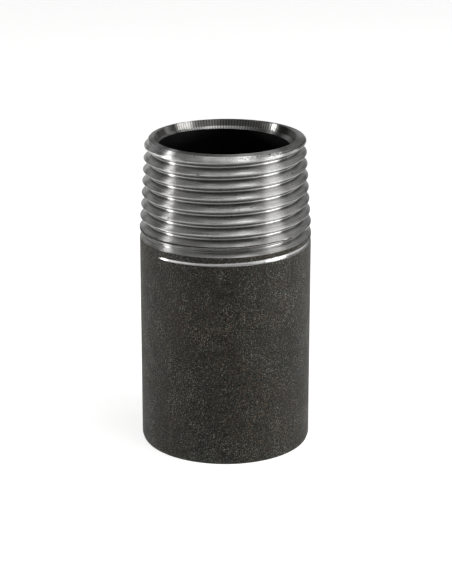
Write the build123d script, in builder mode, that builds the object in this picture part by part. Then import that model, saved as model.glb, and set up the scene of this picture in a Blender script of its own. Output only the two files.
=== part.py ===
from build123d import *
import math
import os

os.makedirs("parts", exist_ok=True)

# Steel weld nipple, thread size R 1, standing on its plain end.
# Origin at the centre of the plain end, Z up along the tube, front toward -Y.
# Sizes are in millimetres.

# tube
tube_diameter = 33.7
wall_thickness = 4.05
nipple_length = 62.0
bore_offset_x = -0.2
plain_end_corner_width = 0.25
plain_end_corner_height = 0.8
plain_end_bore_bevel = 0.4

# threaded end, with widths counted outwards from the bore and inwards from the tube
face_fall = 0.3
end_chamfer_width = 0.58
end_chamfer_angle = 45.0
end_chamfer_centre_x = 0.3
end_chamfer_centre_y = 0.25
upper_bevel_width = 0.5
upper_bevel_depth = 1.25
lower_bevel_width = 0.55
lower_bevel_depth = 0.6

# thread
thread_pitch = 2.309
flank_half_angle = 27.5
crest_end_inset = 1.12
crest_cone_rate = 0.065
groove_depth = 1.5
crest_land = 0.2
thread_start_drop = 0.1
lead_in_turns = 0.75
lead_in_rise = 1.05
full_groove_turns = 7.05
run_out_turns = 1.45
run_out_rise = 1.44
longest_run_turns = 1.1

tube_radius = tube_diameter / 2
bore_radius = tube_radius - wall_thickness
crest_end_radius = tube_radius - crest_end_inset
cone_length = crest_end_inset / crest_cone_rate
bevel_step_radius = bore_radius + lower_bevel_width
face_inner_radius = bevel_step_radius + upper_bevel_width
face_outer_radius = crest_end_radius - end_chamfer_width
groove_slope = math.tan(math.radians(flank_half_angle))
margin = 2.0

# Turns are counted down the helix from the threaded end.
lead_in_turn = 0.1
full_turn = lead_in_turn + lead_in_turns
run_out_turn = full_turn + full_groove_turns
last_turn = run_out_turn + run_out_turns


def floor_radius(turn):
    crest = crest_end_radius + crest_cone_rate * (thread_start_drop + thread_pitch * turn)
    return crest - groove_depth


def turn_height(turn):
    return nipple_length - thread_start_drop - thread_pitch * turn


def turn_direction(turn):
    angle = math.radians(-90.0 - 360.0 * turn)
    return Vector(math.cos(angle), math.sin(angle), 0)


def groove_section(turn, radius):
    # a V with a flat floor, carried a little past the crests
    outward = turn_direction(turn)
    half_mouth = (thread_pitch - crest_land) / 2
    half_floor = half_mouth - groove_depth * groove_slope
    past_crest = crest_land / 2.2 / groove_slope
    half_top = half_mouth + past_crest * groove_slope
    section_plane = Plane(
        origin=outward * radius + Vector(0, 0, turn_height(turn)),
        x_dir=outward,
        z_dir=Vector(outward.Y, -outward.X, 0),
    )
    with BuildSketch(section_plane) as section:
        with BuildLine():
            Polyline(
                (0, -half_floor),
                (groove_depth + past_crest, -half_top),
                (groove_depth + margin, -half_top),
                (groove_depth + margin, half_top),
                (groove_depth + past_crest, half_top),
                (0, half_floor),
                close=True,
            )
        make_face()
    return section.sketch


def groove_run(section, first_turn, last_turn, first_radius, last_radius):
    # one run of the groove along a conical helix that widens from its first turn to its last
    height = abs(turn_height(last_turn) - turn_height(first_turn))
    cone_angle = math.degrees(math.atan2(last_radius - first_radius, height))
    way = -1 if last_turn > first_turn else 1
    run_plane = Plane(
        origin=(0, 0, turn_height(first_turn)),
        x_dir=turn_direction(first_turn),
        z_dir=(0, 0, way),
    )
    run_path = run_plane * Helix(
        pitch=thread_pitch / math.cos(math.radians(cone_angle)),
        height=height,
        radius=first_radius,
        cone_angle=cone_angle,
    )
    with BuildPart() as run:
        sweep(sections=section, path=run_path, is_frenet=True)
    run_end = run_path @ 1
    end_faces = run.faces().filter_by(GeomType.PLANE)
    end_face = end_faces.sort_by(lambda face: (face.center() - run_end).length)[0]
    return run.part, end_face


# The tube, with its plain end's dulled corner and the turned cone that carries the thread.
with BuildPart() as nipple_body:
    with BuildSketch(Plane.XZ):
        with BuildLine():
            Polyline(
                (0, 0),
                (tube_radius - plain_end_corner_width, 0),
                (tube_radius, plain_end_corner_height),
                (tube_radius, nipple_length - cone_length),
                (crest_end_radius, nipple_length),
                (0, nipple_length),
                close=True,
            )
        make_face()
    revolve(axis=Axis.Z)

# The thread: a right-hand groove that comes in from the chamfer, follows the cone
# and rises out of the tube at its lower end.
first_section = groove_section(full_turn, floor_radius(full_turn))
lead_in, chamfer_face = groove_run(
    first_section,
    full_turn,
    lead_in_turn,
    floor_radius(full_turn),
    floor_radius(lead_in_turn) + lead_in_rise,
)
groove_runs = [lead_in]
run_count = math.ceil(full_groove_turns / longest_run_turns)
run_section = first_section
for run_number in range(run_count):
    start_turn = full_turn + full_groove_turns * run_number / run_count
    end_turn = full_turn + full_groove_turns * (run_number + 1) / run_count
    full_run, run_section = groove_run(
        run_section, start_turn, end_turn, floor_radius(start_turn), floor_radius(end_turn)
    )
    groove_runs.append(full_run)
run_out, run_out_face = groove_run(
    run_section,
    run_out_turn,
    last_turn,
    floor_radius(run_out_turn),
    floor_radius(last_turn) + run_out_rise,
)
groove_runs.append(run_out)

with nipple_body:
    for run_part in groove_runs:
        add(run_part, mode=Mode.SUBTRACT)

# The sloping end face and the outer chamfer, cut a little off the tube's centre.
face_slope = face_fall / (face_outer_radius - face_inner_radius)
chamfer_width = tube_radius + margin - face_outer_radius
chamfer_drop = chamfer_width / math.tan(math.radians(end_chamfer_angle))
with BuildPart() as end_cutter:
    with BuildSketch(Plane.XZ):
        with BuildLine():
            Polyline(
                (face_inner_radius - margin, nipple_length + face_slope * margin),
                (face_outer_radius, nipple_length - face_fall),
                (face_outer_radius + chamfer_width, nipple_length - face_fall - chamfer_drop),
                (face_outer_radius + chamfer_width, nipple_length + margin),
                (face_inner_radius - margin, nipple_length + margin),
                close=True,
            )
        make_face()
    revolve(axis=Axis.Z)

# The bore, a little off centre.
with BuildPart() as bore_cutter:
    with BuildSketch(Plane.XY.offset(-margin)):
        Circle(bore_radius)
    extrude(amount=nipple_length + 2 * margin)

# The two-step bevel inside the threaded end and the light one inside the plain end.
bevel_foot_radius = bore_radius - abs(bore_offset_x)
bevel_foot_height = nipple_length - upper_bevel_depth - lower_bevel_depth
with BuildPart() as bevel_cutter:
    with BuildSketch(Plane.XZ):
        with BuildLine():
            Polyline(
                (0, nipple_length + margin),
                (face_inner_radius, nipple_length + margin),
                (face_inner_radius, nipple_length),
                (bevel_step_radius, nipple_length - upper_bevel_depth),
                (bevel_foot_radius, bevel_foot_height),
                (0, bevel_foot_height),
                close=True,
            )
        make_face()
    with BuildSketch(Plane.XZ):
        with BuildLine():
            Polyline(
                (0, 0),
                (bore_radius + plain_end_bore_bevel, 0),
                (bevel_foot_radius, plain_end_bore_bevel + abs(bore_offset_x)),
                (0, plain_end_bore_bevel + abs(bore_offset_x)),
                close=True,
            )
        make_face()
    revolve(axis=Axis.Z)

with nipple_body:
    with Locations((end_chamfer_centre_x, end_chamfer_centre_y, 0)):
        add(end_cutter.part, mode=Mode.SUBTRACT)
    with Locations((bore_offset_x, 0, 0)):
        add(bore_cutter.part, mode=Mode.SUBTRACT)
    add(bevel_cutter.part, mode=Mode.SUBTRACT)

nipple_body.part.label = "nipple_body"
export_step(nipple_body.part, "parts/nipple_body.step")
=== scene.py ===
import math
from functools import partial

import bpy
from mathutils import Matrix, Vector


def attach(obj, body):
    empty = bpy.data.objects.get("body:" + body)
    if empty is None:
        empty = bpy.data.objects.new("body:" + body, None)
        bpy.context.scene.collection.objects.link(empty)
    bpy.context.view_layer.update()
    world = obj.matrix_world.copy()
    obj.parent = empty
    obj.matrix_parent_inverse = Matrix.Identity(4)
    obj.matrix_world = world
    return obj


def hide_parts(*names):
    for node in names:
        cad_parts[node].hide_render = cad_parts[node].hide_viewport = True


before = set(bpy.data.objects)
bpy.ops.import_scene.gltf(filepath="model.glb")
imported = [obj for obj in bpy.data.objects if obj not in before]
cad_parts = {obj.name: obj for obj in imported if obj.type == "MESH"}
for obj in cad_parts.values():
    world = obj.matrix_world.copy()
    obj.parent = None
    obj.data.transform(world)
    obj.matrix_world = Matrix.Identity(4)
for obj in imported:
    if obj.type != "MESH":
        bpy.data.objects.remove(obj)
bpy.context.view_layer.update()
print("frame loaded")

mm = 0.001
front = -math.pi / 2  # the angle that faces the camera
mathNode = "ShaderNodeMath"


def hexToLinear(code):
    # sRGB hex to the linear colour that the shaders want
    values = [int(code[i:i + 2], 16) / 255 for i in (1, 3, 5)]
    linear = [v / 12.92 if v <= 0.04045 else ((v + 0.055) / 1.055) ** 2.4 for v in values]
    return (*linear, 1.0)


def addNode(tree, kind, settings=None, *values, **named):
    # adds one node with its settings and links: values go to its inputs in order, the rest by name
    # or as n6, n7; a bare word is the node's operation, and a node as a value is its first output
    node = tree.nodes.new(kind)
    if isinstance(settings, str):
        settings = {"operation": settings}
    for name, setting in (settings or {}).items():
        setattr(node, name, setting)
    inputs = list(enumerate(values))
    for name, value in named.items():
        inputs.append((int(name[1:]) if name[1:].isdigit() else name.replace("_", " "), value))
    for key, value in inputs:
        if isinstance(value, bpy.types.Node):
            value = value.outputs[0]
        if isinstance(value, bpy.types.NodeSocket):
            tree.links.new(value, node.inputs[key])
        elif isinstance(value, str) and value.startswith("#"):
            node.inputs[key].default_value = hexToLinear(value)
        else:
            node.inputs[key].default_value = value
    return node


# sizes in millimetres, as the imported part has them
nipple = {
    "length": 62.0,
    "tubeRadius": 16.85,
    "boreRadius": 12.8,
    "boreOffset": -0.2,
    "cornerWidth": 0.25,
    "cornerHeight": 0.8,
    "plainEndBevel": 0.4,
    "faceInnerRadius": 13.85,
    "faceOuterRadius": 15.15,
    "faceFall": 0.3,
    "chamferX": 0.3,
    "chamferY": 0.25,
    "bevelStepRadius": 13.35,
    "bevelStepDepth": 1.25,
    "bevelDepth": 1.85,
    "edgeRounding": 0.03,
    "dentAngle": 64.0,  # a small knock in the far rim
    "dentSpread": 5.0,
    "dentDepth": 0.14,
    "seamHeight": 39.97,  # where the thread's grid meets the plain tube
    "columns": 264,
    "tubeRows": 12,
    "boreRows": 12,
}

# each of these is an input of the thread's tree, in millimetres or turns
thread = {
    "Pitch": 2.309,
    "Crest Radius": 15.73,
    "Cone Rate": 0.065,
    "Groove Depth": 1.5,
    "Crest Land": 0.2,
    "Flank Slope": math.tan(math.radians(27.5)),
    "Start Drop": 0.1,
    "Full Turn": 0.85,
    "Lead In Turns": 0.75,
    "Lead In Rise": 1.05,
    "Run Out Turn": 7.9,
    "Run Out Turns": 1.45,
    "Run Out Rise": 1.44,
    "Root Rounding": 0.05,
    "Crest Rounding": 1.0,
    "Crest Span": 0.34,  # the widest that a crest is rounded
    "Wobble": 0.03,
}
rowsPerTurn = 24
firstTurn = -1
turnCount = 11

# where the tube's black skin is cut through, in millimetres
skin = {
    "allowance": 0.004,
    "depth": 0.03,
    "scratchPlace": 0.14,  # the run-out only scratches the tube, on the lower side of the tooth
    "scratchHalfWidth": 0.3125,
    "scratchFade": 0.125,
    "scratchDeepness": 2.5,  # and fades to the full cut as the groove gets deeper
    "landEdge": 0.15,  # the last crests keep their skin, a little past their edges
    "landFade": 0.05,
}
markNames = ("cut", "rootNear", "underside", "turned", "inside", "bevel")


def offsetCircle(angle, radius, x, y):
    # distance from the tube's axis to a circle whose centre is off it
    along = x * math.cos(angle) + y * math.sin(angle)
    across = x * math.sin(angle) - y * math.cos(angle)
    return along + math.sqrt(radius * radius - across * across)


def dent(angle):
    away = math.degrees(angle) - nipple["dentAngle"]
    away = (away + 180) % 360 - 180
    return nipple["dentDepth"] * math.exp(-(away / nipple["dentSpread"]) ** 2)


def faceHeight(angle, radius):
    # the end face falls outwards about the chamfer's own centre, and nowhere rises over the length
    x = radius * math.cos(angle) - nipple["chamferX"]
    y = radius * math.sin(angle) - nipple["chamferY"]
    slope = nipple["faceFall"] / (nipple["faceOuterRadius"] - nipple["faceInnerRadius"])
    fall = max(0.0, slope * (math.hypot(x, y) - nipple["faceInnerRadius"]))
    knock = dent(angle) * min(1.0, fall / nipple["faceFall"] + 0.5)  # half as deep at the inner edge
    return nipple["length"] - fall - knock


def edgeBetween(angle, share):
    # a point on the end face, from its inner edge to its outer edge
    inner = nipple["faceInnerRadius"]
    outer = offsetCircle(angle, nipple["faceOuterRadius"], nipple["chamferX"], nipple["chamferY"])
    r = inner + (outer - inner) * share
    if share == 1.0:
        return r, nipple["length"] - nipple["faceFall"]
    return r, faceHeight(angle, r)


def buildShell():
    # everything but the thread, as rings of points: tube, plain end, bore, inner bevel, end face
    n = nipple["columns"]
    tube, bore, edge = nipple["tubeRadius"], nipple["boreRadius"], nipple["edgeRounding"]
    top, seam = nipple["length"], nipple["seamHeight"]
    inner = nipple["faceInnerRadius"]
    stepR, stepZ = nipple["bevelStepRadius"], top - nipple["bevelStepDepth"]
    lowR, lowZ = bore - abs(nipple["boreOffset"]), top - nipple["bevelDepth"]
    cornerR, cornerZ = tube - nipple["cornerWidth"], nipple["cornerHeight"]
    bevelR = bore + nipple["plainEndBevel"]
    rings = []

    def addRing(place, cut=0.0, inside=0.0, bevel=0.0):
        # a ring's place is its radius and height at each angle
        rings.append((place, {"cut": cut, "inside": inside, "bevel": bevel}))

    def boreAt(a):
        return offsetCircle(a, bore, nipple["boreOffset"], 0.0)

    def bevelFoot(a, lift):
        r = boreAt(a) + lift
        return r, lowZ + (r - lowR) * (stepZ - lowZ) / (stepR - lowR)

    # down the tube, over the dulled corner and across the plain end, which is partly bare
    tubeFoot = cornerZ + 0.5
    for step in range(nipple["tubeRows"]):
        z = seam + (tubeFoot - seam) * step / (nipple["tubeRows"] - 1)
        addRing(lambda a, z=z: (tube, z))
    corner = [(tube, cornerZ + 0.12), (tube - 0.02, cornerZ - 0.06), (tube - 0.13, cornerZ / 2)]
    corner += [(cornerR + edge, 0.12)]
    for r, z in corner:
        addRing(lambda a, r=r, z=z: (r, z))
    plainEnd = [(cornerR - edge, edge), (cornerR - 0.1, 0.0), (cornerR - 0.3, 0.0)]
    plainEnd += [(bevelR + 0.05, 0.0), (bevelR, 0.0)]
    for r, z in plainEnd:
        addRing(lambda a, r=r, z=z: (r, z), cut=0.55)

    # up the bore
    addRing(lambda a: (boreAt(a) + 0.02, bevelR - boreAt(a) - 0.02), cut=0.5, inside=0.5)
    rowHeight = (lowZ - 0.5) / (nipple["boreRows"] - 0.5)
    for step in range(nipple["boreRows"]):
        addRing(lambda a, s=step: (boreAt(a), bevelR - boreAt(a) + rowHeight * s), inside=1.0)
    addRing(lambda a: (boreAt(a), bevelFoot(a, 0.0)[1] - 0.04), inside=1.0)

    # over the two steps of the inner bevel and across the end face
    addRing(lambda a: bevelFoot(a, 0.0), cut=0.5, inside=0.6, bevel=1.0)
    addRing(lambda a: bevelFoot(a, edge), cut=1.0, bevel=1.0)
    addRing(lambda a: (stepR - edge, stepZ - edge), cut=1.0, bevel=1.0)
    addRing(lambda a: (stepR, stepZ), cut=0.8, bevel=1.0)
    addRing(lambda a: (stepR + 0.02, stepZ + 0.05), cut=1.0, bevel=0.5)
    for share in (0.35, 0.7, 0.96):
        r = stepR + (inner - stepR) * share
        addRing(lambda a, r=r, s=share: (r, stepZ + (faceHeight(a, inner) - stepZ) * s), cut=1.0, bevel=0.5)
    addRing(lambda a: edgeBetween(a, 0.0), cut=1.0, bevel=0.3)
    for share in (0.06, 0.5, 0.94, 1.0):
        addRing(lambda a, s=share: edgeBetween(a, s), cut=1.0)

    points, faces = [], []
    marks = {name: [] for name in markNames}
    for place, marked in rings:
        for column in range(n):
            a = front - 2 * math.pi * column / n
            r, z = place(a)
            points.append((r * math.cos(a) * mm, r * math.sin(a) * mm, z * mm))
        for name in markNames:
            marks[name] += [marked.get(name, 0.0)] * n
    for low in range(0, (len(rings) - 1) * n, n):
        high = low + n
        for column in range(n):
            side = (column + 1) % n
            faces.append((low + column, low + side, high + side, high + column))
    mesh = bpy.data.meshes.new("nippleShell")
    mesh.from_pydata(points, [], faces)
    for name, values in marks.items():
        mesh.attributes.new(name, "FLOAT", "POINT").data.foreach_set("value", values)
    mesh.update()
    return mesh


def buildThreadTree():
    # lays a grid of points along the helix, so every corner of the groove runs along a row
    tree = bpy.data.node_groups.new("pipeThread", "GeometryNodeTree")
    tree.interface.new_socket("Shell", in_out="INPUT", socket_type="NodeSocketGeometry")
    for name in thread:
        tree.interface.new_socket(name, in_out="INPUT", socket_type="NodeSocketFloat")
    tree.interface.new_socket("Material", in_out="INPUT", socket_type="NodeSocketMaterial")
    tree.interface.new_socket("Nipple", in_out="OUTPUT", socket_type="NodeSocketGeometry")
    add = partial(addNode, tree)
    size = add("NodeGroupInput").outputs
    tubeRadius = nipple["tubeRadius"]

    # a column for each angle; the rows go across one groove after another
    rows, columns = rowsPerTurn * turnCount, nipple["columns"]
    grid = add("GeometryNodeMeshGrid", None, Vertices_X=columns + 1, Vertices_Y=rows + 1)
    index = add("GeometryNodeInputIndex")
    row = add(mathNode, "MODULO", index, rows + 1)
    column = add(mathNode, "DIVIDE", add(mathNode, "ADD", index, 0.5), rows + 1)
    share = add(mathNode, "DIVIDE", add(mathNode, "FLOOR", column), columns)
    angle = add(mathNode, "SUBTRACT", front, add(mathNode, "MULTIPLY", share, 2 * math.pi))
    cosine = add(mathNode, "COSINE", angle)
    sine = add(mathNode, "SINE", angle)
    rowTurn = add(mathNode, "DIVIDE", row, rowsPerTurn)
    period = add(mathNode, "FLOOR", add(mathNode, "ADD", rowTurn, 0.001))
    turn = add(mathNode, "ADD", add(mathNode, "ADD", period, firstTurn), share)
    within = add(mathNode, "MULTIPLY", add(mathNode, "SUBTRACT", rowTurn, period), 2)
    within = add(mathNode, "SUBTRACT", within, 1)  # from -1 above the groove to 1 below it
    fromMiddle = add(mathNode, "ABSOLUTE", within)

    # floor of the groove, with its lead-in and run-out
    drop = add(mathNode, "MULTIPLY_ADD", size["Pitch"], turn, size["Start Drop"])
    crest = add(mathNode, "MULTIPLY_ADD", size["Cone Rate"], drop, size["Crest Radius"])
    leadShare = add(mathNode, "SUBTRACT", size["Full Turn"], turn)
    leadShare = add(mathNode, "DIVIDE", leadShare, size["Lead In Turns"])
    leadShare = add(mathNode, "MAXIMUM", leadShare, 0)
    outShare = add(mathNode, "SUBTRACT", turn, size["Run Out Turn"])
    outShare = add(mathNode, "DIVIDE", outShare, size["Run Out Turns"])
    outShare = add(mathNode, "MAXIMUM", outShare, 0)
    floor = add(mathNode, "SUBTRACT", crest, size["Groove Depth"])
    floor = add(mathNode, "MULTIPLY_ADD", leadShare, size["Lead In Rise"], floor)
    floor = add(mathNode, "MULTIPLY_ADD", outShare, size["Run Out Rise"], floor)

    # half widths of the groove, at its floor and at the surface
    rootEdge = size["Root Rounding"]
    slope = size["Flank Slope"]
    halfPitch = add(mathNode, "MULTIPLY", size["Pitch"], 0.5)
    halfLand = add(mathNode, "MULTIPLY", size["Crest Land"], 0.5)
    halfMouth = add(mathNode, "SUBTRACT", halfPitch, halfLand)
    flankWidth = add(mathNode, "MULTIPLY", size["Groove Depth"], slope)
    halfFloor = add(mathNode, "SUBTRACT", halfMouth, flankWidth)
    surface = add(mathNode, "MINIMUM", crest, tubeRadius)
    depth = add(mathNode, "SUBTRACT", surface, floor)
    leastOpen = add(mathNode, "MULTIPLY_ADD", rootEdge, 3.0, halfFloor)
    halfOpen = add(mathNode, "MULTIPLY_ADD", depth, slope, halfFloor)
    halfOpen = add(mathNode, "MAXIMUM", halfOpen, leastOpen)
    halfOpen = add(mathNode, "MINIMUM", halfOpen, halfMouth)

    # how far each row stands from the groove's middle: floor, its corner, flank, rounded crest, land
    floorSpan = add(mathNode, "SUBTRACT", halfFloor, rootEdge)
    cornerSpan = add(mathNode, "MULTIPLY", rootEdge, 2)
    flankSpan = add(mathNode, "SUBTRACT", add(mathNode, "SUBTRACT", halfOpen, halfFloor), rootEdge)
    crestSpan = add(mathNode, "MULTIPLY", flankSpan, 0.5)
    crestSpan = add(mathNode, "MINIMUM", crestSpan, size["Crest Span"])
    flankSpan = add(mathNode, "SUBTRACT", flankSpan, crestSpan)
    landSpan = add(mathNode, "SUBTRACT", halfPitch, halfOpen)
    halfRows = rowsPerTurn / 2
    rowSpans = [(0, 1, floorSpan), (1, 3, cornerSpan), (3, 6, flankSpan)]
    rowSpans += [(6, 10, crestSpan), (10, 12, landSpan)]
    away = 0.0
    for low, high, length in rowSpans:
        part = add("ShaderNodeMapRange", None, fromMiddle, low / halfRows, high / halfRows)
        away = add(mathNode, "MULTIPLY_ADD", part, length, away)
    sideways = add(mathNode, "SIGN", within)
    height = add(mathNode, "MULTIPLY_ADD", sideways, away, drop)
    height = add(mathNode, "SUBTRACT", nipple["length"], height)
    flank = add(mathNode, "SMOOTH_MAX", add(mathNode, "SUBTRACT", away, halfFloor), 0, rootEdge)
    groove = add(mathNode, "ADD", floor, add(mathNode, "DIVIDE", flank, slope))

    # the turned cone and the tube bound the thread from outside; the die tears the crests a little,
    # and the noise seldom passes the middle value, so that it nearly always takes metal away
    cone = add(mathNode, "SUBTRACT", nipple["length"], height)
    cone = add(mathNode, "MULTIPLY_ADD", size["Cone Rate"], cone, size["Crest Radius"])
    spot = add("ShaderNodeCombineXYZ", None, cosine, sine, add(mathNode, "MULTIPLY", height, 0.35))
    ripple = add("ShaderNodeTexNoise", None, Vector=spot, Scale=6.0, Detail=3.0)
    wobble = add(mathNode, "MULTIPLY", add(mathNode, "SUBTRACT", ripple, 0.62), size["Wobble"])
    outside = add(mathNode, "MINIMUM", add(mathNode, "ADD", cone, wobble), tubeRadius)

    # so does the chamfer, whose circle is off the tube's axis
    along = add(mathNode, "MULTIPLY", sine, nipple["chamferY"])
    along = add(mathNode, "MULTIPLY_ADD", cosine, nipple["chamferX"], along)
    across = add(mathNode, "MULTIPLY", sine, nipple["chamferX"])
    across = add(mathNode, "SUBTRACT", across, add(mathNode, "MULTIPLY", cosine, nipple["chamferY"]))
    reach = add(mathNode, "MULTIPLY", across, across)
    reach = add(mathNode, "SUBTRACT", nipple["faceOuterRadius"] ** 2, reach)
    rimRadius = add(mathNode, "ADD", along, add(mathNode, "SQRT", reach))
    rimHeight = nipple["length"] - nipple["faceFall"]
    height = add(mathNode, "MINIMUM", height, rimHeight)
    height = add(mathNode, "MAXIMUM", height, nipple["seamHeight"])
    chamfer = add(mathNode, "ADD", rimRadius, add(mathNode, "SUBTRACT", rimHeight, height))

    # the crests are rounded, less so where they come out at the tube's own surface
    belowTube = add(mathNode, "SUBTRACT", tubeRadius, outside)
    belowTube = add(mathNode, "MULTIPLY_ADD", belowTube, 4.0, 0.1)
    rounding = add(mathNode, "MINIMUM", belowTube, 1)
    rounding = add(mathNode, "MULTIPLY", size["Crest Rounding"], rounding)
    radius = add(mathNode, "SMOOTH_MIN", outside, groove, rounding)
    radius = add(mathNode, "MINIMUM", radius, chamfer)
    atRim = add(mathNode, "GREATER_THAN", height, rimHeight - 0.001)
    radius = add("ShaderNodeMix", {"data_type": "FLOAT"}, atRim, n2=radius, n3=rimRadius)
    atSeam = add(mathNode, "LESS_THAN", height, nipple["seamHeight"] + 0.001)
    radius = add("ShaderNodeMix", {"data_type": "FLOAT"}, atSeam, n2=radius, n3=tubeRadius)
    placeX = add(mathNode, "MULTIPLY", add(mathNode, "MULTIPLY", cosine, radius), mm)
    placeY = add(mathNode, "MULTIPLY", add(mathNode, "MULTIPLY", sine, radius), mm)
    placeZ = add(mathNode, "MULTIPLY", height, mm)
    place = add("ShaderNodeCombineXYZ", None, placeX, placeY, placeZ)

    # where the black skin is cut through
    deepness = add(mathNode, "SUBTRACT", outside, floor)
    deepness = add(mathNode, {"operation": "DIVIDE", "use_clamp": True}, deepness, size["Groove Depth"])
    uncutRadius = add(mathNode, "MINIMUM", outside, groove)
    cutRadius = add(mathNode, "MINIMUM", uncutRadius, chamfer)
    cut = add(mathNode, "SUBTRACT", tubeRadius - skin["allowance"], cutRadius)
    cut = add(mathNode, {"operation": "DIVIDE", "use_clamp": True}, cut, skin["depth"])
    aside = add(mathNode, "MULTIPLY", sideways, away)
    aside = add(mathNode, "ABSOLUTE", add(mathNode, "SUBTRACT", aside, skin["scratchPlace"]))
    scratch = add(mathNode, "SUBTRACT", skin["scratchHalfWidth"], aside)
    scratch = add(mathNode, "DIVIDE", scratch, skin["scratchFade"])
    scratchDeep = add(mathNode, "MULTIPLY", deepness, skin["scratchDeepness"])
    cut = add(mathNode, "MINIMUM", cut, add(mathNode, "MAXIMUM", scratchDeep, scratch))
    blackLand = add(mathNode, "SUBTRACT", cone, tubeRadius)
    blackLand = add(mathNode, {"operation": "DIVIDE", "use_clamp": True}, blackLand, skin["landFade"])
    fromLand = add(mathNode, "SUBTRACT", halfPitch, away)
    fromLand = add(mathNode, "SUBTRACT", fromLand, skin["landEdge"])
    fromLand = add(mathNode, "DIVIDE", fromLand, skin["landFade"])
    fromLand = add(mathNode, "MAXIMUM", add(mathNode, "SUBTRACT", 1, blackLand), fromLand)
    cut = add(mathNode, "MAXIMUM", add(mathNode, "MINIMUM", cut, fromLand), 0)

    # what else the finish reads: the chamfer's band, the root, and the root under a crest
    turned = add(mathNode, "LESS_THAN", chamfer, add(mathNode, "ADD", uncutRadius, 0.005))
    rootNear = add(mathNode, {"operation": "SUBTRACT", "use_clamp": True}, 1, away)
    rootNear = add(mathNode, "MULTIPLY", rootNear, deepness)
    underside = add(mathNode, "MULTIPLY", add(mathNode, "LESS_THAN", within, -0.1), rootNear)
    values = {"cut": cut, "rootNear": rootNear, "underside": underside, "turned": turned}
    marked = grid
    for name in markNames:
        settings = {"data_type": "FLOAT", "domain": "POINT"}
        value = values.get(name, 0.0)
        marked = add("GeometryNodeStoreNamedAttribute", settings, Geometry=marked, Name=name, Value=value)
    shaped = add("GeometryNodeSetPosition", None, Geometry=marked, Position=place)
    join = add("GeometryNodeJoinGeometry", None, shaped)
    tree.links.new(size["Shell"], join.inputs[0])
    merged = add("GeometryNodeMergeByDistance", None, Geometry=join, Distance=0.0015 * mm)
    real = add("GeometryNodeRealizeInstances", None, merged)
    coated = add("GeometryNodeSetMaterial", None, Geometry=real, Material=size["Material"])
    add("NodeGroupOutput", None, coated)
    return tree


# black steel tube, cut bright at one end
finish = {
    "scaleDark": "#020202",
    "scaleLight": "#272721",
    "speck": "#82827a",
    "rust": "#5c432f",
    "insideScale": "#030303",
    "bright": "#cacac9",
    "turned": "#e4e4e3",
    "brightWorn": "#a6a5a2",
    # the colour of torn metal, also used for the painted shade under the crests
    "torn": "#5c5a57",
    # dark colour for the painted shade in the thread's roots, and for the pits
    "rootGrime": "#1c1b1a",
    "patchShare": 0.25,
    "grainShare": 0.75,
    "rustShare": 0.35,
    "wornShare": 0.25,
    "tearShare": 0.5,
    "crumbShare": 0.14,
    "rootShadeShare": 0.9,
    "rootShadeGap": 0.65,  # the painted root shade stops short of the very root, leaving a thin light line
    "pitShare": 0.7,
    "scaleRoughness": 0.52,
    "cutRoughness": 0.27,
    "scaleRelief": 0.09,  # millimetres
    "cutRelief": 0.006,
    "tearLength": 7.0,
    "tearWidth": 0.16,
    "chatterCount": 150,  # marks round the inner bevel
}
# noise patterns: grain in millimetres, detail, a shift that keeps each apart from the others, and
# the stretch of the noise that is spread from 0 to 1
patterns = {
    "cloud": (14.0, 3.0, 0.0, 0.3, 0.7),
    "patch": (3.0, 4.0, 0.0, 0.35, 0.65),
    "grain": (0.22, 2.0, 0.0, 0.38, 0.64),
    "cluster": (5.0, 2.0, 0.44, 0.4, 0.75),
    "speck": (0.198, 1.0, 0.31, 0.55, 0.7),
    "rust": (0.352, 1.0, 0.77, 0.56, 0.66),
    "worn": (1.6, 4.0, 0.13, 0.4, 0.66),
    "crumb": (0.3, 2.0, 0.37, 0.42, 0.6),
    "pit": (0.9, 2.0, 0.91, 0.68, 0.74),
    "chatter": (2.5, 1.0, 0.5, 0.0, 1.0),
    "ragged": (0.35, 2.0, 0.2, 0.0, 1.0),
}


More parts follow.
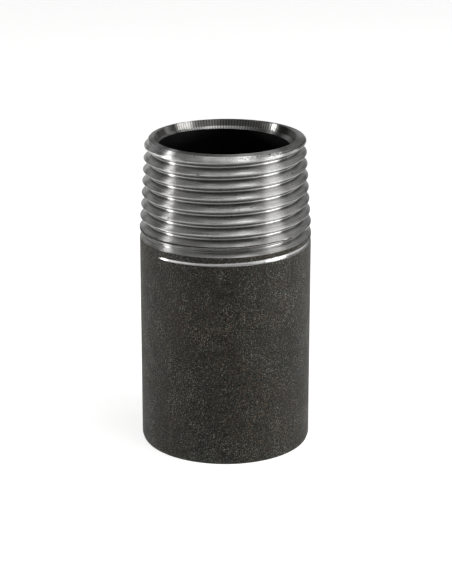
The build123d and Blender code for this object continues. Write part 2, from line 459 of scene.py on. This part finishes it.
def buildSteel():
    # hot-rolled carbon steel: dull black mill scale with pale and rusty flecks; where the die and
    # the lathe have cut it is bare metal with fine marks drawn out along the cut
    material = bpy.data.materials.new("blackSteelTube")
    material.use_nodes = True
    tree = material.node_tree
    tree.nodes.clear()
    add = partial(addNode, tree)
    colourMix = {"data_type": "RGBA"}
    coords = add("ShaderNodeTexCoord").outputs["Object"]
    mark = {}
    for name in markNames:
        mark[name] = add("ShaderNodeAttribute", {"attribute_name": name}).outputs["Fac"]
    noise, pattern = {}, {}
    for name, (grainSize, detail, shift, low, high) in patterns.items():
        moved = add("ShaderNodeMapping", None, coords, (shift, shift, shift))
        scale = 1.0 / (grainSize * mm)
        noise[name] = add("ShaderNodeTexNoise", None, Vector=moved, Scale=scale, Detail=detail)
        pattern[name] = add("ShaderNodeMapRange", None, noise[name], low, high)

    # mill scale
    tone = add(mathNode, "MULTIPLY", pattern["grain"], finish["grainShare"])
    tone = add(mathNode, "MULTIPLY_ADD", pattern["patch"], finish["patchShare"], tone)
    clusters = add(mathNode, "MULTIPLY_ADD", pattern["cluster"], 0.45, 0.3)
    specks = add(mathNode, "MULTIPLY", pattern["speck"], clusters)
    rusty = add(mathNode, "MULTIPLY", pattern["cloud"], finish["rustShare"])
    rusty = add(mathNode, "MULTIPLY", pattern["rust"], rusty)
    # inside the bore the colour turns a plain, darker black, without the flecks or rust
    scaleLayers = ((tone, "scaleLight"), (specks, "speck"), (rusty, "rust"), (mark["inside"], "insideScale"))
    scaleColour = finish["scaleDark"]
    for amount, name in scaleLayers:
        scaleColour = add("ShaderNodeMix", colourMix, amount, n6=scaleColour, n7=finish[name]).outputs[2]
    scaleHeight = add(mathNode, "MULTIPLY_ADD", pattern["patch"], 0.5, noise["grain"])
    relief = finish["scaleRelief"] * mm
    scaleBump = add("ShaderNodeBump", None, Height=scaleHeight, Distance=relief, Strength=0.8)
    scaleRough = add(mathNode, "MULTIPLY_ADD", pattern["patch"], 0.12, finish["scaleRoughness"])
    scaleShader = add(
        "ShaderNodeBsdfPrincipled", None,
        Base_Color=scaleColour, Roughness=scaleRough, Specular_IOR_Level=0.12, Normal=scaleBump,
    )

    # cut steel: tearing along the cut, and chatter round the inner bevel
    longWay, crossWay = 1.0 / finish["tearLength"] / mm, 1.0 / finish["tearWidth"] / mm
    drawn = add("ShaderNodeMapping", None, coords, Scale=(longWay, longWay, crossWay))
    tear = add("ShaderNodeTexNoise", None, Vector=drawn, Scale=1.0, Detail=3.0)
    parts = add("ShaderNodeSeparateXYZ", None, coords).outputs
    around = add(mathNode, "ARCTAN2", parts[1], parts[0])
    chatter = add(mathNode, "SINE", add(mathNode, "MULTIPLY", around, finish["chatterCount"]))
    chatter = add(mathNode, "MULTIPLY", chatter, pattern["chatter"])
    chatter = add(mathNode, "MULTIPLY", chatter, mark["bevel"])

    # how much of each colour lies over the bright metal
    worn = add(mathNode, "MULTIPLY", pattern["worn"], finish["wornShare"])
    torn = add("ShaderNodeMapRange", None, tear, 0.5, 0.68)
    torn = add(mathNode, "MULTIPLY", torn, finish["tearShare"])
    crumbs = add(mathNode, "MULTIPLY", pattern["crumb"], finish["crumbShare"])
    # painted shade with real crumbly grain: the downward flank under each crest is coloured darker, broken
    # up by the crumb pattern
    under = add("ShaderNodeMapRange", None, mark["underside"], 0.05, 0.4)
    undersideShadeCrumbs = add(mathNode, "MULTIPLY_ADD", pattern["crumb"], 0.6, 0.4)
    undersideShadeCrumbs = add(mathNode, "MULTIPLY", undersideShadeCrumbs, under)
    # the inner bevel is coloured darker, most on its upper step, and striped by the chatter marks
    upperBevel = add("ShaderNodeMapRange", None, mark["bevel"], 0.0, 0.5)
    lowerBevel = add("ShaderNodeMapRange", None, mark["bevel"], 0.5, 1.0)
    lowerBevel = add(mathNode, "MULTIPLY", lowerBevel, 0.4)
    bevelDarkening = add(mathNode, "MULTIPLY_ADD", chatter, 0.9, 0.7)
    bevelDarkening = add(mathNode, "MULTIPLY", upperBevel, bevelDarkening)
    bevelDarkening = add(mathNode, "SUBTRACT", bevelDarkening, lowerBevel)
    # painted shade: the thread is coloured darker near the groove's floor, where the crests shade it, all
    # but a thin line at the very root
    rootLine = add("ShaderNodeMapRange", None, mark["rootNear"], 0.84, 0.93)
    rootLine = add(mathNode, "MULTIPLY", rootLine, finish["rootShadeGap"])
    rootShade = add("ShaderNodeMapRange", None, mark["rootNear"], 0.45, 0.8)
    rootShade = add(mathNode, "MULTIPLY", rootShade, add(mathNode, "SUBTRACT", 1, rootLine))
    rootShade = add(mathNode, "MULTIPLY", rootShade, finish["rootShadeShare"])
    pits = add(mathNode, "MULTIPLY", pattern["pit"], finish["pitShare"])
    cutLayers = (
        (worn, "brightWorn"),
        (mark["turned"], "turned"),
        (torn, "torn"),
        (crumbs, "torn"),
        (undersideShadeCrumbs, "torn"),
        (bevelDarkening, "torn"),
        (rootShade, "rootGrime"),
        (pits, "rootGrime"),
    )
    cutColour = finish["bright"]
    for amount, name in cutLayers:
        cutColour = add("ShaderNodeMix", colourMix, amount, n6=cutColour, n7=finish[name]).outputs[2]
    cutRough = add(mathNode, "MULTIPLY_ADD", tear, 0.1, finish["cutRoughness"])
    cutHeight = add(mathNode, "ADD", tear, add(mathNode, "MULTIPLY", chatter, 1.5))
    relief = finish["cutRelief"] * mm
    cutBump = add("ShaderNodeBump", None, Height=cutHeight, Distance=relief, Strength=0.7)
    roundTangent = add("ShaderNodeTangent", {"direction_type": "RADIAL", "axis": "Z"})
    cutShader = add(
        "ShaderNodeBsdfPrincipled", None,
        Base_Color=cutColour, Roughness=cutRough, Metallic=1.0, Anisotropic=1.0, Anisotropic_Rotation=0.25,
        Tangent=roundTangent, Normal=cutBump,
    )

    # the cut's border is ragged
    border = add(mathNode, "MULTIPLY_ADD", pattern["ragged"], 0.6, mark["cut"])
    border = add("ShaderNodeMapRange", None, border, 0.55, 0.85)
    mix = add("ShaderNodeMixShader", None, border, scaleShader, cutShader)
    add("ShaderNodeOutputMaterial", None, Surface=mix)
    return material


steel = buildSteel()
print("material built")
nippleObject = bpy.data.objects.new("nipple_body_finish", buildShell())
bpy.context.scene.collection.objects.link(nippleObject)
threadTree = buildThreadTree()
modifier = nippleObject.modifiers.new("thread", "NODES")
modifier.node_group = threadTree
for item in threadTree.interface.items_tree:
    if item.in_out == "INPUT" and item.name in thread:
        modifier[item.identifier] = thread[item.name]
    if item.name == "Material":
        modifier[item.identifier] = steel
evaluated = nippleObject.evaluated_get(bpy.context.evaluated_depsgraph_get())
finished = bpy.data.meshes.new_from_object(evaluated)
nippleObject.modifiers.clear()
nippleObject.data = finished
finished.polygons.foreach_set("use_smooth", [True] * len(finished.polygons))
finished.set_sharp_from_angle(angle=math.radians(30))
print("nipple built:", len(finished.vertices), "points", len(finished.polygons), "faces")

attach(nippleObject, "root")
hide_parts("nipple_body")

# floor, lights and camera
studio = {
    "paper": "#f6f6f5",
    "surround": "#ffffff",
    "surroundStrength": 0.03,
    "paperGlow": 0.68,  # the table is lit from below as well
    "camera": (0.1117 * mm, -366.14 * mm, 154.18 * mm),
    "cameraTilt": 18.726,
    "focalLength": 119.67,
    "sensorWidth": 36,
    "floorReach": 3,
    "aim": (0, 0, 45 * mm),  # what the lights point at
}
# direction in degrees round from the camera to the right and up, distance, width, height, radiance
softboxes = {
    "leftStrip": (-88, 7, 0.6, 0.085, 0.14, 47.0),
    "leftLow": (-75, 6, 0.6, 0.25, 0.12, 3.3),
    "leftLowFront": (-50, 6, 0.6, 0.25, 0.12, 1.3),
    "leftHigh": (-80, 68, 0.6, 0.40, 0.20, 0.45),
    "frontHigh": (-3, 70, 0.6, 0.45, 0.16, 1.5),
    "topSoft": (20, 84, 0.6, 0.20, 0.20, 1.1),
    "rightHigh": (50, 68, 0.6, 0.20, 0.20, 3.4),
    "rightHighBack": (100, 68, 0.6, 0.20, 0.20, 1.4),
    "rightBack": (115, 22, 0.6, 0.11, 0.42, 1.5),
    "rightStrip": (64, 22, 0.6, 0.12, 0.42, 2.2),
    "rightLow": (74, 7, 0.6, 0.27, 0.13, 24.0),
    "rightLowFront": (50, 6, 0.6, 0.25, 0.12, 3.5),
    "backLow": (180, 8, 0.85, 1.00, 0.12, 0.7),
    "backLeft": (-150, 26, 0.8, 0.35, 0.25, 0.4),
    "backRight": (150, 26, 0.8, 0.35, 0.25, 0.3),
}

reach = studio["floorReach"]
floorCorners = [(-reach, -reach, 0), (reach, -reach, 0), (reach, reach, 0), (-reach, reach, 0)]
floorMesh = bpy.data.meshes.new("floor")
floorMesh.from_pydata(floorCorners, [], [(0, 1, 2, 3)])
floorObject = bpy.data.objects.new("floor", floorMesh)
bpy.context.scene.collection.objects.link(floorObject)
paper = bpy.data.materials.new("whitePaper")  # matt studio paper
paper.use_nodes = True
paperShader = paper.node_tree.nodes["Principled BSDF"]
paperShader.inputs["Base Color"].default_value = hexToLinear(studio["paper"])
paperShader.inputs["Roughness"].default_value = 0.9
paperShader.inputs["Emission Color"].default_value = hexToLinear(studio["surround"])
paperShader.inputs["Emission Strength"].default_value = studio["paperGlow"]
floorMesh.materials.append(paper)

for name, (around, up, distance, width, tall, radiance) in softboxes.items():
    light = bpy.data.lights.new(name, "AREA")
    light.shape = "RECTANGLE"
    light.size, light.size_y = width, tall
    light.energy = radiance * math.pi * width * tall  # watts for that radiance
    around, up = math.radians(around), math.radians(up)
    way = Vector((math.sin(around) * math.cos(up), -math.cos(around) * math.cos(up), math.sin(up)))
    lamp = bpy.data.objects.new(name, light)
    lamp.location = Vector(studio["aim"]) + way * distance
    lamp.rotation_euler = way.to_track_quat("Z", "Y").to_euler()
    bpy.context.scene.collection.objects.link(lamp)

world = bpy.data.worlds.new("studioSurround")
world.use_nodes = True
surround = world.node_tree.nodes["Background"]
surround.inputs["Color"].default_value = hexToLinear(studio["surround"])
surround.inputs["Strength"].default_value = studio["surroundStrength"]
bpy.context.scene.world = world
bpy.context.scene.view_settings.view_transform = "Standard"

cameraData = bpy.data.cameras.new("camera")
cameraData.sensor_width = studio["sensorWidth"]
cameraData.lens = studio["focalLength"]
cameraData.clip_start, cameraData.clip_end = 0.02, 20
camera = bpy.data.objects.new("camera", cameraData)
camera.location = studio["camera"]
camera.rotation_euler = (math.radians(90 - studio["cameraTilt"]), 0, 0)
bpy.context.scene.collection.objects.link(camera)
bpy.context.scene.camera = camera
print("studio built")
